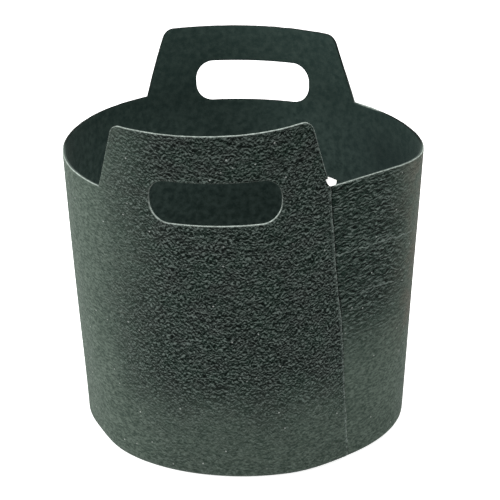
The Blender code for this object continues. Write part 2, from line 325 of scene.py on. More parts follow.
class Sheet:
    """A closed sheet of felt with softly rounded cut edges, made from flat outlines."""

    def __init__(self, chains, closed, pitch, thickness=FELT, rings=FELT_RINGS):
        self.half = thickness / 2
        self.u, self.v, self.n, self.edge, self.side = [], [], [], [], []
        self.faces = []
        self.count = 0
        self.chains, self.closed = chains, closed
        self.normals = [inward(line, shut) for line, shut in zip(chains, closed)]
        self.middle = [self.ring(k, 0.0, 0.0, 0, 1.0) for k in range(len(chains))]
        self.rings, self.split_line = {1: [], -1: []}, {}
        for side in (1, -1):
            rows = list(self.middle)
            for inset, fall in reversed(rings):
                edge = 1.0 if inset == 0 else HALF_CUT if fall else 0.0
                level = side * (self.half - fall)
                new = [self.ring(k, inset, level, side, edge) for k in range(len(chains))]
                for a, b, shut in zip(rows, new, closed):
                    self.band(a, b, side, shut)
                rows = new
                self.rings[side].append(new)
            self.fill(rows, side, pitch if side > 0 else (pitch[0] * 2, pitch[1] * 2))

    def add(self, points, level, side, edge):
        """Adds points that share a level, and gives their numbers."""
        first = self.count
        self.u.append(points[:, 0])
        self.v.append(points[:, 1])
        for store, value in ((self.n, level), (self.side, side), (self.edge, edge)):
            store.append(np.full(len(points), float(value)))
        self.count += len(points)
        return np.arange(first, self.count)

    def ring(self, k, inset, level, side, edge):
        """Adds one ring of points, a little in from outline k."""
        return self.add(self.chains[k] + self.normals[k] * inset, level, side, edge)

    def band(self, a, b, side, closed):
        """Adds the quads between two rings."""
        for i in range(len(a) if closed else len(a) - 1):
            j = (i + 1) % len(a)
            face = (a[i], a[j], b[j], b[i])
            self.faces.append(face if side > 0 else face[::-1])

    def fill(self, rings, side, pitch):
        """Fills one face: quads on a grid, joined to the last ring by a band of triangles."""
        u, v = np.concatenate(self.u), np.concatenate(self.v)
        loops = [np.stack([u[r], v[r]], axis=1) for r in rings]
        us, vs, cells = self.grid(loops, pitch)
        index = self.lay_quads(us, vs, cells, side)
        edges = border(cells, index)
        for ring, shut in zip(rings, self.closed):
            edges += list(zip(ring[:-1], ring[1:]))
            if shut:
                edges.append((ring[-1], ring[0]))
        if not self.closed[0]:
            column = index[:, 0] if abs(us[0] - loops[0][0][0]) < SAME_LINE else index[:, -1]
            line = [k for k in column if k >= 0]
            bottom, top = sorted((rings[0][0], rings[0][-1]), key=lambda k: v[k])
            edges += [(bottom, line[0]), (line[-1], top)]
            self.split_line[side] = [bottom] + line + [top]
        self.lay_band(edges, loops, us, vs, cells, side)

    def grid(self, loops, pitch):
        """The lines of a grid over the first loop, and which of its cells are well inside."""
        low, high = loops[0].min(axis=0), loops[0].max(axis=0)
        tree = KDTree(sum(len(loop) for loop in loops))
        for k, point in enumerate(np.concatenate(loops)):
            tree.insert((point[0], point[1], 0), k)
        tree.balance()
        columns, rows = (max(2, round((high[k] - low[k]) / pitch[k])) for k in (0, 1))
        us = np.linspace(low[0], high[0], columns + 1)
        vs = np.linspace(low[1], high[1], rows + 1)
        good = np.array([inside(us, row, loops, self.closed[0]) for row in vs])
        for j, i in zip(*np.nonzero(good)):
            if tree.find((us[i], vs[j], 0))[2] < GRID_CLEARANCE * max(pitch):
                good[j, i] = False
        return us, vs, good[:-1, :-1] & good[1:, :-1] & good[:-1, 1:] & good[1:, 1:]

    def lay_quads(self, us, vs, cells, side):
        """Adds the cells' points and quads, and gives the number of each grid point."""
        used = np.zeros((len(vs), len(us)), bool)
        for dj in (0, 1):
            for di in (0, 1):
                used[dj:len(vs) - 1 + dj, di:len(us) - 1 + di] |= cells
        jj, ii = np.nonzero(used)
        index = np.full(used.shape, -1)
        index[jj, ii] = self.add(np.stack([us[ii], vs[jj]], 1), side * self.half, side, 0)
        cj, ci = np.nonzero(cells)
        corners = (cj, ci), (cj, ci + 1), (cj + 1, ci + 1), (cj + 1, ci)
        quads = np.stack([index[at] for at in corners[::side]], 1)
        self.faces += [tuple(q) for q in quads.tolist()]
        return index

    def lay_band(self, edges, loops, us, vs, cells, side):
        """Adds the triangles between the grid's cells and the rings around them."""
        names = sorted({k for e in edges for k in e})
        place = {k: i for i, k in enumerate(names)}
        u, v = np.concatenate(self.u), np.concatenate(self.v)
        flat = [Vector((u[k] * MILLIMETRES, v[k] * MILLIMETRES)) for k in names]
        lines = [(place[a], place[b]) for a, b in edges]
        made, _, faces, origins, _, _ = delaunay_2d_cdt(flat, lines, [], 0, SAME_POINT)
        if len(made) != len(flat):
            raise RuntimeError("the outline crosses itself")
        back = [names[o[0]] for o in origins]
        corners = np.array([[back[c] for c in f] for f in faces])
        cu, cv = u[corners].mean(axis=1), v[corners].mean(axis=1)
        area = (u[corners[:, 1]] - u[corners[:, 0]]) * (v[corners[:, 2]] - v[corners[:, 0]])
        area -= (u[corners[:, 2]] - u[corners[:, 0]]) * (v[corners[:, 1]] - v[corners[:, 0]])
        keep = (np.abs(area) > SMALLEST_AREA) & inside(cu, cv, loops, self.closed[0])
        rows, columns = cells.shape
        gi = np.clip(((cu - us[0]) / (us[1] - us[0])).astype(int), 0, columns - 1)
        gj = np.clip(((cv - vs[0]) / (vs[1] - vs[0])).astype(int), 0, rows - 1)
        keep &= ~cells[gj, gi]
        flip = area * side < 0
        for face, turn in zip(corners[keep].tolist(), flip[keep]):
            self.faces.append(tuple(face[::-1] if turn else face))

    def close_split(self):
        """The flat face where an open sheet meets the next one."""
        u, v = np.concatenate(self.u), np.concatenate(self.v)
        middle = self.middle[0]
        top, bottom = (0, -1) if v[middle[0]] > v[middle[-1]] else (-1, 0)
        outer_rings = [rows[0] for rows in self.rings[1][:-1]]
        inner_rings = [rows[0] for rows in self.rings[-1][:-1]]
        outer = [ring[top] for ring in outer_rings] + self.split_line[1][::-1]
        outer += [ring[bottom] for ring in outer_rings][::-1]
        inner = [ring[bottom] for ring in inner_rings] + self.split_line[-1]
        inner += [ring[top] for ring in inner_rings][::-1]
        face = tuple(int(k) for k in outer + [middle[bottom]] + inner + [middle[top]])
        right = u[face[0]] > u[middle].mean()
        self.faces.append(face if right else face[::-1])

    def piece(self, name, place, relief, masks, material):
        """The object: place(u, v, n) puts its points, and relief(u, v, side) raises them."""
        u, v, n = np.concatenate(self.u), np.concatenate(self.v), np.concatenate(self.n)
        side, edge = np.concatenate(self.side), np.concatenate(self.edge)
        n = n + side * relief(u, v, side) * np.where(edge > 0, 0.0, 1.0)
        co = place(u, v, n)
        mesh = bpy.data.meshes.new(name)
        mesh.from_pydata(co.tolist(), [], self.faces)
        store = mesh.attributes.new("cloth", "FLOAT_VECTOR", "POINT")
        store.data.foreach_set("vector", np.stack([u, v, n], 1).astype(np.float32).ravel())
        values = {"cut_edge": edge, "face_side": side, **masks(u, v, side)}
        for key, value in values.items():
            store = mesh.attributes.new(key, "FLOAT", "POINT")
            store.data.foreach_set("value", np.asarray(value, np.float32))
        mesh.shade_smooth()
        mesh.set_sharp_from_angle(angle=SHARP_ANGLE)
        mesh.materials.append(material)
        obj = bpy.data.objects.new(name, mesh)
        bpy.context.scene.collection.objects.link(obj)
        return obj


def border(cells, index):
    """The grid's edges between a kept cell and one that isn't kept."""
    pad = np.pad(cells, 1)
    edges = []
    for j, i in zip(*np.nonzero(cells)):
        for beside, a, b in CELL_SIDES:
            if not pad[j + beside[0], i + beside[1]]:
                edges.append((index[j + a[0], i + a[1]], index[j + b[0], i + b[1]]))
    return edges


def inside(u, v, loops, closed):
    """Whether points are inside the first loop, with its ends joined, and outside the rest."""
    u, v = np.broadcast_arrays(np.asarray(u, float), np.asarray(v, float))
    a = np.concatenate(loops)
    b = np.concatenate([np.roll(loop, -1, axis=0) for loop in loops])
    found = np.zeros(u.shape, bool)
    for first in range(0, len(u), BATCH):
        part = slice(first, first + BATCH)
        pu, pv = u[part, None], v[part, None]
        cross = (a[:, 1] > pv) != (b[:, 1] > pv)
        with np.errstate(divide="ignore", invalid="ignore"):
            at = a[:, 0] + (pv - a[:, 1]) * (b[:, 0] - a[:, 0]) / (b[:, 1] - a[:, 1])
        found[part] = (cross & (at > pu)).sum(axis=1) % 2 == 1
    if not closed:
        end = loops[0][0][0]
        low, high = sorted((loops[0][0][1], loops[0][-1][1]))
        found |= (np.abs(u - end) < ON_END) & (v > low) & (v < high)
    return found


# ---------------------------------------------------------------- the felt's faces
RIGHT_PANEL = -0.66  # the tucked end's outer face starts at about this U
RIGHT_PANEL_RUN = 0.04
GRAIN_DRIFT, GRAIN_DRIFT_WIDTH, GRAIN_DRIFT_HEIGHT = 0.012, 0.04, 0.05
FRONT_GRAIN_FROM, FRONT_GRAIN_RUN = -0.140, 0.110
PANEL_GRAIN_FROM, PANEL_GRAIN_RUN = -0.705, 0.085
BACK_GRAIN, BACK_GRAIN_REACH, BACK_GRAIN_SHARE = 1.4, 0.11, 0.6
GRAIN_FOOT, PANEL_GRAIN_LIFT, GRAIN_CLIMB = 0.026, 0.050, 0.085
LEAST_GRAIN, LEAST_AT_FOOT, PANEL_LESS = 0.06, 0.35, 0.15
STREAK_FROM, STREAK_RUN = -0.60, 0.10
RUST_U, RUST_SPREAD, RUST_FOOT = -0.712, 0.034, 0.06
# The turn from the front where the cut edges' painted highlight is widest; the camera looks from
# this side.
WIDEST_AT = math.radians(8)
CUT_HIGHLIGHT_WIDTH, CUT_HIGHLIGHT_ROUNDNESS = 0.0011, 0.19
LEAST_CUT_HIGHLIGHT, CUT_HIGHLIGHT_PAST_SIDES, CUT_HIGHLIGHT_RUN = 0.02, 0.02, 0.20
# The painted highlight on the rim beyond the back handle's foot.
PALE_RIM_AT, PALE_RIM_SPREAD, PALE_RIM_WIDTH, PALE_RIM_SHARE = 0.018, 0.017, 0.0022, 0.9
SLOT_DARK_FROM, SLOT_DARK_RUN, SLOT_DARK_SHARE = 0.016, 0.022, 0.8
SLOT_MARGIN = (0.002, 0.003)
CRINKLE, RIPPLE, RIDGE = 0.00009, 0.00004, 0.00008
HEM_GATHERS, GATHER_WANDER, GATHER_SHARPNESS, GATHER_DEPTH = 31, 1.5, 14, 0.0007
GATHER_TOP, GATHER_FADE, RELIEF_FADE = -0.004, 0.008, 0.012
DISC_SAG, SAG_RADIUS = 0.0012, 0.095
DISC_WAVE, WAVES_ROUND, WAVE_PHASE = 0.0004, 3, 0.6
WAVE_FULL_FROM, WAVE_ENDS, WAVE_FADE = 0.09, 0.112, 0.03
SHORT_WAVES, SHORT_WAVE_SHARE, WAVES_END_FADE = 2.7, 0.6, 0.01


def coarse_mask(u, v, side):
    """How strongly the crinkled grain of the outer face shows. Where it shows less, on the left
    and towards the foot, the face is painted pale with light.
    """
    wander = GRAIN_DRIFT * noise(u / GRAIN_DRIFT_WIDTH, v / GRAIN_DRIFT_HEIGHT, 5)
    front = smooth((u + wander - FRONT_GRAIN_FROM) / FRONT_GRAIN_RUN)
    panel = smooth((PANEL_GRAIN_FROM - u + wander) / PANEL_GRAIN_RUN)
    from_back = np.abs(u + wander - BACK_U) / BACK_GRAIN_REACH
    back = BACK_GRAIN_SHARE * smooth(BACK_GRAIN - from_back)
    at_right = smooth((RIGHT_PANEL - u) / RIGHT_PANEL_RUN)
    low = GRAIN_FOOT + PANEL_GRAIN_LIFT * at_right
    least = LEAST_AT_FOOT - PANEL_LESS * at_right
    rise = least + (1 - least) * smooth((v + wander - low) / GRAIN_CLIMB)
    shown = np.maximum(np.maximum(front, panel), back)
    return np.where(side > 0, (LEAST_GRAIN + (1 - LEAST_GRAIN) * shown) * rise, 0.0)


def streak_mask(u, v, side):
    """Where the grain is drawn out into long ridges."""
    return np.where(side > 0, smooth((STREAK_FROM - u) / STREAK_RUN), 0.0)


def rust_mask(u, v, side):
    """The warmer stain at the far right."""
    at = np.exp(-(((u - RUST_U) / RUST_SPREAD) ** 2)) * smooth((v - RUST_FOOT) / RUST_FOOT)
    return np.where(side > 0, at, 0.0)


def cut_highlight_width(u):
    """How much of a cut edge's thickness carries the painted highlight: most in front, where it
    faces the camera, and least at the sides.
    """
    turn = u / RIM_RADIUS - WIDEST_AT
    return CUT_HIGHLIGHT_WIDTH / np.sqrt(np.sin(turn) ** 2 + CUT_HIGHLIGHT_ROUNDNESS * np.cos(turn) ** 2)


def pale_rim(u):
    """The stretch of rim beyond the back handle's foot, which carries the painted highlight too.
    """
    return np.exp(-(((u - BACK_U + HANDLE_FOOT + PALE_RIM_AT) / PALE_RIM_SPREAD) ** 2))


def cut_highlight_mask(u, v, side):
    """Cut edges carry the painted highlight in front and are dark round the back, with painted
    shade at the front slot's top.
    """
    front = smooth((np.cos(u / RIM_RADIUS - WIDEST_AT) + CUT_HIGHLIGHT_PAST_SIDES) / CUT_HIGHLIGHT_RUN)
    over_slot = smooth((v - RIM_HEIGHT - FRONT_SLOT_RISE + SLOT_DARK_FROM) / SLOT_DARK_RUN)
    in_slot = np.abs(u) < SLOT_HALF_LENGTH + SLOT_MARGIN[0]
    in_slot &= v < RIM_HEIGHT + SLOT_HALF_HEIGHT + SLOT_MARGIN[1]
    # Painted shade on the cut edges at the top of the front slot.
    front = front * np.where(in_slot, 1 - SLOT_DARK_SHARE * over_slot, 1.0)
    return np.clip(LEAST_CUT_HIGHLIGHT + front + PALE_RIM_SHARE * pale_rim(u), 0, 1)


def masks(u, v, side):
    """Values that the felt's material reads at each point."""
    return {
        "coarse": coarse_mask(u, v, side),
        "streak": streak_mask(u, v, side),
        "rust": rust_mask(u, v, side),
        "worn": cut_highlight_mask(u, v, side),
        "worn_from": FELT / 2 - cut_highlight_width(u) - PALE_RIM_WIDTH * pale_rim(u),
    }


def layered(u, v, *layers):
    """Layers of noise added up, each with its height, its two sizes and its seed."""
    return sum(
        height * noise(u / across, v / along, seed) for height, across, along, seed in layers
    )


def wall_relief(u, v, side):
    """Crinkles of the pressed outer face, and gathers where the hem turns in."""
    bend = 0.0016 * noise(u / 0.019, v / 0.023, 3)
    small = noise(u / 0.0030, (v + bend) / 0.0017, 11)
    large = noise(u / 0.0120, (v + 2 * bend) / 0.0050, 12)
    long = noise(u / 0.0240, (v + 2 * bend) / 0.0032, 13)
    coarse, streak = coarse_mask(u, v, side), streak_mask(u, v, side)
    outer = coarse * (CRINKLE * small + RIPPLE * large) + streak * coarse * RIDGE * long
    inner = layered(u, v, (0.00010, 0.022, 0.019, 14), (0.00006, 0.008, 0.008, 15))
    height = np.where(side > 0, outer, inner) * smooth((v - GATHER_TOP) / RELIEF_FADE)
    angle = u / RIM_RADIUS
    gather = HEM_GATHERS * angle + GATHER_WANDER * noise(angle * 4, 0, 16)
    gather = np.abs(np.sin(gather)) ** GATHER_SHARPNESS
    depth = GATHER_DEPTH * smooth((GATHER_TOP - v) / GATHER_FADE)
    return height - np.where(side > 0, gather * depth, 0.0)


def disc_relief(u, v, side):
    return layered(u, v, (0.00016, 0.013, 0.013, 21), (0.00006, 0.004, 0.004, 22))


def disc_place(u, v, n):
    """Where points of the flat disc go: it lies on the hem and sags a little between."""
    r, turn = np.hypot(u, v), np.arctan2(v, u)
    sag = -DISC_SAG * smooth(1 - r / SAG_RADIUS)
    wave = DISC_WAVE * np.sin(WAVES_ROUND * turn + WAVE_PHASE)
    sag += wave * smooth(r / WAVE_FULL_FROM) * smooth((WAVE_ENDS - r) / WAVE_FADE)
    height = FELT + BOND + 2 * GAP + FELT / 2
    return np.stack([u + PLAN_SHIFT[0], v + PLAN_SHIFT[1], height + n + sag], axis=-1)


def wavy(line, closed, amount, pitch, seed):
    """A die-cut edge's slight waviness, none at the ends of an open line."""
    along = np.concatenate([[0], np.cumsum(np.linalg.norm(np.diff(line, axis=0), axis=1))])
    long = noise(along / pitch, 0.5, seed)
    short = noise(along / pitch * SHORT_WAVES, 0.5, seed + 1)
    fade = smooth(along / WAVES_END_FADE) * smooth((along[-1] - along) / WAVES_END_FADE)
    shift = amount * (long + SHORT_WAVE_SHARE * short) * fade
    return line + inward(line, closed) * shift[:, None]


# ---------------------------------------------------------------- materials
class Nodes:
    """Small helpers for building a material's nodes."""

    def __init__(self, name):
        self.material = bpy.data.materials.new(name)
        self.material.use_nodes = True
        self.tree = self.material.node_tree
        self.shader = self.tree.nodes["Principled BSDF"]

    def put(self, socket, value):
        if isinstance(value, bpy.types.NodeSocket):
            self.tree.links.new(value, socket)
        elif value is not None:
            socket.default_value = value

    def node(self, kind, values=(), out=0, **settings):
        made = self.tree.nodes.new(kind)
        for key, value in settings.items():
            setattr(made, key, value)
        for key, value in dict(values).items():
            self.put(made.inputs[key], value)
        return made.outputs[out]

    def attribute(self, name, out="Fac"):
        return self.node("ShaderNodeAttribute", out=out, attribute_name=name)

    def math(self, operation, *values):
        return self.node("ShaderNodeMath", enumerate(values), operation=operation)

    def times(self, first, *others):
        for other in others:
            first = self.math("MULTIPLY", first, other)
        return first

    def vector(self, operation, a, b):
        return self.node("ShaderNodeVectorMath", {0: a, 1: b}, operation=operation)

    def parts(self, vector):
        outputs = self.node("ShaderNodeSeparateXYZ", {"Vector": vector}).node.outputs
        return [outputs[axis] for axis in "XYZ"]

    def noise(self, vector, detail=2.0, roughness=0.5, out=0, scale=1.0):
        values = {"Vector": vector, "Scale": scale, "Detail": detail, "Roughness": roughness}
        return self.node("ShaderNodeTexNoise", values, out=out)

    def remap(self, value, low, high, to_low=0.0, to_high=1.0, kind="LINEAR"):
        values = {"Value": value, "From Min": low, "From Max": high}
        values.update({"To Min": to_low, "To Max": to_high})
        return self.node("ShaderNodeMapRange", values, interpolation_type=kind)

    def mix(self, factor, a, b, kind="RGBA"):
        made = self.tree.nodes.new("ShaderNodeMix")
        made.data_type = kind
        for key, value in (("Factor", factor), ("A", a), ("B", b)):
            self.put(made.inputs[key], value)
        return made.outputs["Result"]

    def lerp(self, factor, a, b):
        return self.mix(factor, a, b, "FLOAT")

    def bump(self, height, distance, normal=None):
        values = {"Height": height, "Distance": distance, "Normal": normal}
        return self.node("ShaderNodeBump", values)

    def surface(self, values):
        for key, value in values.items():
            self.put(self.shader.inputs[key], value)


# The darkest colour is painted shade in the grain's pits and in the shadow beside the seam; it
# also darkens cut edges.
PIT_AND_SHADOW_DARK = (0.0007, 0.0016, 0.0012, 1)
GREEN_BODY = (0.0068, 0.0148, 0.0108, 1)
GREY_BODY = (0.0090, 0.0123, 0.0108, 1)
PALE_FLECK = (0.110, 0.135, 0.122, 1)
# The soft nap's two tones are paler than the body partly from painted light, on the left and
# towards the foot.
LIT_SOFT_BODY = (0.070, 0.090, 0.074, 1)
LIT_SOFT_DARK = (0.026, 0.038, 0.030, 1)
RUST = (0.075, 0.068, 0.052, 1)
RUST_DARK = (0.026, 0.024, 0.019, 1)
INNER_DARK = (0.0155, 0.0285, 0.0250, 1)
INNER_LIGHT = (0.0310, 0.0480, 0.0415, 1)
# Painted light deep inside the pot.
INNER_DEEP_LIT = (0.0980, 0.1450, 0.1280, 1)
# Painted shade on the right inner wall.
INNER_PAINTED_SHADE = (0.0080, 0.0140, 0.0135, 1)
# The darker tone of the painted light deep inside.
INNER_DEEP_LIT_DARK = (0.0440, 0.0720, 0.0640, 1)
# The pale colour of the cut edges' painted highlight.
CUT_EDGE_HIGHLIGHT = (0.420, 0.480, 0.440, 1)
LINT = (0.40, 0.42, 0.40, 1)
SHEEN_TINT = (0.80, 0.88, 0.80, 1)
SHORT_GRAIN = ((500, 1150, 400), 1.5, 0.5)  # scale, detail, roughness
LONG_GRAIN = ((230, 1050, 300), 2.0, 0.55)
GRAIN_WANDER = (0.0016, 0.0060, 0.0)
# Each grain noise takes away part of a copy shifted up the strip: painted shading, as if the
# ridges were lit from above.
GRAIN_SHIFT, GRAIN_RING = 0.0017, -0.4
FIBRE_SHARE = 0.12
GRAIN_BUMP, FIBRE_BUMP = 0.00050, 0.00015
LINT_CELLS = 85.0
CREASES = (  # start, level, slope, bow, length, strength
    (-0.848, 0.1895, 0.0416, -0.6, 0.125, 0.85),
    (-0.820, 0.1500, 0.0600, -1.2, 0.070, 0.55),
)


class Felt(Nodes):
    """Needle-punched felt: crinkled outside, soft and mottled inside, with a painted highlight
    where it is cut.
    """

    def __init__(self):
        super().__init__("needle_felt")
        self.cloth = self.attribute("cloth", "Vector")
        self.u, self.v, self.n = self.parts(self.cloth)
        self.coarse, self.streak = self.attribute("coarse"), self.attribute("streak")
        self.is_outer = self.remap(self.attribute("face_side"), -0.5, 0.5)
        self.patch = self.spots((38, 44, 38), 3, 0.6)
        self.cloud = self.spots((95, 80, 90), 4, 0.65)
        self.torn = self.spots((260, 260, 260), 3, 0.7)
        self.jag = self.spots((60, 330, 60), 3, 0.7)
        self.fray = self.spots((900, 900, 900), 3, 0.7)
        self.fine = self.spots((1100, 1500, 900), 2, 0.6)
        drift = self.noise(self.vector("MULTIPLY", self.cloth, (110, 140, 110)), out="Color")
        drift = self.vector("SUBTRACT", drift, (0.5, 0.5, 0.5))
        self.drift = self.vector("MULTIPLY", drift, GRAIN_WANDER)
        self.fleck = self.grain()

    def spots(self, scale, detail, roughness, at=None):
        at = self.cloth if at is None else at
        return self.noise(self.vector("MULTIPLY", at, scale), detail, roughness)

    def grain(self):
        """Pale ridges over dark pits: the felt's grain, partly painted as lit from above with
        its pits in painted shade. They run along the strip and wander up and down.
        """
        here = self.vector("ADD", self.cloth, self.drift)
        above = self.vector("ADD", here, (0, GRAIN_SHIFT, 0))
        ringed = []
        for kind in (SHORT_GRAIN, LONG_GRAIN):
            under = self.spots(*kind, above)
            ringed.append(self.math("MULTIPLY_ADD", under, GRAIN_RING, self.spots(*kind, here)))
        fleck = self.remap(self.lerp(self.streak, *ringed), 0.17, 0.44)
        return self.lerp(FIBRE_SHARE, fleck, self.remap(self.fine, 0.30, 0.70))

    def outer_face(self):
        """Dark pits, a green to grey body and pale flecks, partly painted relief shading, or
        soft nap where it isn't coarse, painted pale with light.
        """
        grey = self.times(self.remap(self.patch, 0.40, 0.62), self.lerp(self.streak, 1.0, 0.2))
        body = self.mix(grey, GREEN_BODY, GREY_BODY)
        dark = self.remap(self.fleck, 0.05, 0.45, 1.0, 0.0)
        pale = self.math("POWER", self.remap(self.fleck, 0.40, 1.0), 1.7)
        pale = self.times(pale, self.lerp(self.streak, 0.68, 0.65))
        pale = self.times(pale, self.remap(self.v, 0.255, 0.285, 1.0, 0.84))
        crinkled = self.mix(pale, self.mix(dark, body, PIT_AND_SHADOW_DARK), PALE_FLECK)
        # Soft nap: its own smoother texture, painted pale with light on the left and towards the
        # foot.
        nap = self.remap(self.spots((300, 640, 300), 1.5, 0.5), 0.36, 0.64)
        soft = self.mix(nap, LIT_SOFT_DARK, LIT_SOFT_BODY)
        soft = self.mix(self.remap(self.cloud, 0.40, 0.75, 0, 0.5), soft, LIT_SOFT_DARK)
        stain = self.mix(self.fleck, RUST_DARK, RUST)
        stained = self.remap(self.patch, 0.40, 0.62, 0.15, 0.9)
        stained = self.times(self.attribute("rust"), stained)
        return self.mix(stained, self.mix(self.coarse, soft, crinkled), stain)

    def creased(self, colour):
        """Two long thin creases cross the tucked end."""
        wander = self.parts(self.drift)[1]
        for start, level, slope, bow, length, strength in CREASES:
            run = self.math("SUBTRACT", self.u, start)
            climb = self.math("MULTIPLY_ADD", run, bow, slope)
            line = self.math("MULTIPLY_ADD", run, climb, level)
            off = self.math("SUBTRACT", self.math("ADD", self.v, wander), line)
            near = self.remap(self.math("ABSOLUTE", off), 0.0001, 0.0007, strength, 0.0)
            ends = self.remap(run, 0.0, 0.02), self.remap(run, length, length - 0.015)
            shown = self.times(*ends, self.remap(self.torn, 0.28, 0.52))
            colour = self.mix(self.times(near, shown), colour, PALE_FLECK)
        return colour

    def lining(self):
        """The inner face: painted light makes it paler lower down at the left and back, and
        painted shade makes it darker at the right.
        """
        mottle = self.remap(self.spots((170, 190, 170), 3, 0.65), 0.36, 0.64)
        colour = self.mix(mottle, INNER_DARK, INNER_LIGHT)
        colour = self.mix(self.remap(self.cloud, 0.35, 0.65, 0.0, 0.45), colour, INNER_DARK)
        # Painted light: the lining is paler lower down at the left and back.
        lit_deep = self.remap(self.v, 0.245, 0.12, 0.0, 0.9)
        lit_deep = self.times(lit_deep, self.remap(self.u, -0.72, -0.58, 0.1, 1.0))
        colour = self.mix(lit_deep, colour, self.mix(mottle, INNER_DEEP_LIT_DARK, INNER_DEEP_LIT))
        # Painted shade on the right inner wall below the rim.
        right = self.remap(self.v, 0.262, 0.215, 0.0, 0.68)
        right = self.times(right, self.remap(self.u, -0.50, -0.60))
        return self.mix(right, colour, INNER_PAINTED_SHADE)

    def past_end(self):
        """How far past the strip's outer end a point of the ply beneath lies."""
        slope = (SEAM_TOP - SEAM_FOOT) / (RIM_HEIGHT - CORNER_TOP)
        end = self.math("MULTIPLY_ADD", self.v, slope, SEAM_FOOT - slope * CORNER_TOP - ROUND)
        bow = SEAM_BOW_FROM, SEAM_BOW_FROM - SEAM_BOW_RUN, 0.0, SEAM_BOW, "SMOOTHSTEP"
        return self.math("SUBTRACT", self.u, self.math("ADD", end, self.remap(self.v, *bow)))

    def shaded(self, colour, past):
        """A dark line of shadow on the ply beneath, widest just below the bead."""
        width = self.lerp(self.remap(self.v, 0.06, 0.14), 0.0020, 0.0032)
        width = self.times(width, self.remap(self.jag, 0.35, 0.6, 0.55, 1.3))
        width = self.lerp(self.remap(self.v, 0.2410, 0.2450), width, 0.0048)
        across = self.math("DIVIDE", past, width)
        shade = self.remap(across, 0.55, 1.15, 0.85, 0.0, "SMOOTHSTEP")
        shade = self.times(shade, self.math("GREATER_THAN", past, -0.006), self.is_outer)
        return self.mix(shade, colour, PIT_AND_SHADOW_DARK)

    def cut(self, colour, past):
        """Cut edges carry a painted highlight where light from above falls, are dark elsewhere,
        and fray at the seam.
        """
        edge, worn = self.attribute("cut_edge"), self.attribute("worn")
        from_end = self.math("ABSOLUTE", self.math("SUBTRACT", past, ROUND))
        dashes = self.remap(self.jag, 0.42, 0.58, 0.05, 0.85)
        broken = self.lerp(
            self.remap(from_end, 0.0015, 0.0030, 1.0, 0.0),
            self.remap(self.torn, 0.35, 0.62, 0.45, 1.1),
            dashes,
        )
        # Painted highlight along the top of the cut edges.
        lit_cut = self.math("SUBTRACT", self.n, self.attribute("worn_from"))
        lit_cut = self.remap(lit_cut, -0.0002, 0.0003, 0.10, 1.0)
        lit_cut = self.times(lit_cut, self.times(edge, worn))
        lit_cut = self.times(lit_cut, self.remap(self.n, 0.00110, 0.00135, 1.0, 0.45))
        lit_cut = self.times(lit_cut, self.remap(self.fray, 0.30, 0.62, 0.45, 1.0), broken)
        frayed = self.times(self.remap(from_end, 0.0012, 0.0028, 0.45, 0.0), dashes)
        below_rim = self.remap(self.v, 0.248, 0.246)
        frayed = self.times(frayed, self.times(self.is_outer, below_rim))
        # Cut edges away from the painted highlight are darkened.
        dark = self.times(edge, self.math("SUBTRACT", 1.0, worn), 0.8)
        colour = self.mix(dark, colour, PIT_AND_SHADOW_DARK)
        colour = self.mix(frayed, colour, PALE_FLECK)
        return self.mix(lit_cut, colour, CUT_EDGE_HIGHLIGHT)

    def specked(self, colour):
        """A few specks of white lint."""
        cells = {"Vector": self.cloth, "Scale": LINT_CELLS}
        lint = self.node("ShaderNodeTexVoronoi", cells, out="Distance")
        lint = self.times(self.remap(lint, 0.040, 0.072, 0.45, 0.0), self.is_outer)
        return self.mix(lint, colour, LINT)

    def build(self):
        past = self.past_end()
        colour = self.mix(self.is_outer, self.lining(), self.creased(self.outer_face()))
        colour = self.specked(self.cut(self.shaded(colour, past), past))
        height = self.lerp(self.coarse, self.times(self.fine, 0.30), self.fleck)
        normal = self.bump(self.fray, FIBRE_BUMP, self.bump(height, GRAIN_BUMP))
        roughness = self.remap(self.fleck, 0.0, 1.0, 1.0, 0.82)
        self.surface({"Base Color": colour, "Roughness": roughness, "Normal": normal})
        self.surface({"Specular IOR Level": 0.05, "Sheen Weight": 0.07})
        self.surface({"Sheen Roughness": 0.30, "Sheen Tint": SHEEN_TINT})
        return self.material


def adhesive(name, colour, cloudy):
    """Set hot-melt adhesive: waxy, cloudy and faintly translucent."""
    m = Nodes(name)
    at = m.node("ShaderNodeTexCoord", out="Object")
    cloud = m.noise(at, scale=420.0, detail=3, roughness=0.6)
    colour = m.mix(m.remap(cloud, 0.3, 0.7), cloudy, colour)
    roughness = m.remap(cloud, 0.3, 0.7, 0.55, 0.32)
    m.surface({"Base Color": colour, "Roughness": roughness, "Normal": m.bump(cloud, 0.0003)})
    m.surface({"Subsurface Weight": 0.25, "Subsurface Radius": (0.002, 0.002, 0.0018)})
    return m.material


felt = Felt().build()
bead_white = adhesive("squeezed_hot_melt", (0.92, 0.92, 0.90, 1), (0.84, 0.84, 0.82, 1))
bond_white = adhesive("pressed_hot_melt", (0.70, 0.70, 0.64, 1), (0.58, 0.57, 0.52, 1))

# ---------------------------------------------------------------- the two halves of the wall
EDGE_PITCH = 0.0014
SEAM_WAVES, EDGE_WAVES, WAVE_LENGTH = 0.00060, 0.00016, 0.009
CUT_END_REACH, BOW_REACH, BOW_BELOW_RIM = 0.0005, 0.003, 0.001
DISC_POINTS = 240
front_edge = [(SPLIT_U, HEM_EDGE), (SEAM_FOOT, HEM_EDGE), (SEAM_FOOT, CORNER_TOP)]
front_edge += handle_outline(0.0, SEAM_TOP) + [(SPLIT_U, RIM_HEIGHT)]
back_edge = [(SPLIT_U, RIM_HEIGHT)] + handle_outline(BACK_U, HANDLE_FOOT)
back_edge += [(TUCKED_TOP, RIM_HEIGHT), (TUCKED_FOOT, CORNER_TOP + FELT)]
back_edge += [(NOTCH, CORNER_TOP + FELT), (NOTCH, HEM_EDGE), (SPLIT_U, HEM_EDGE)]


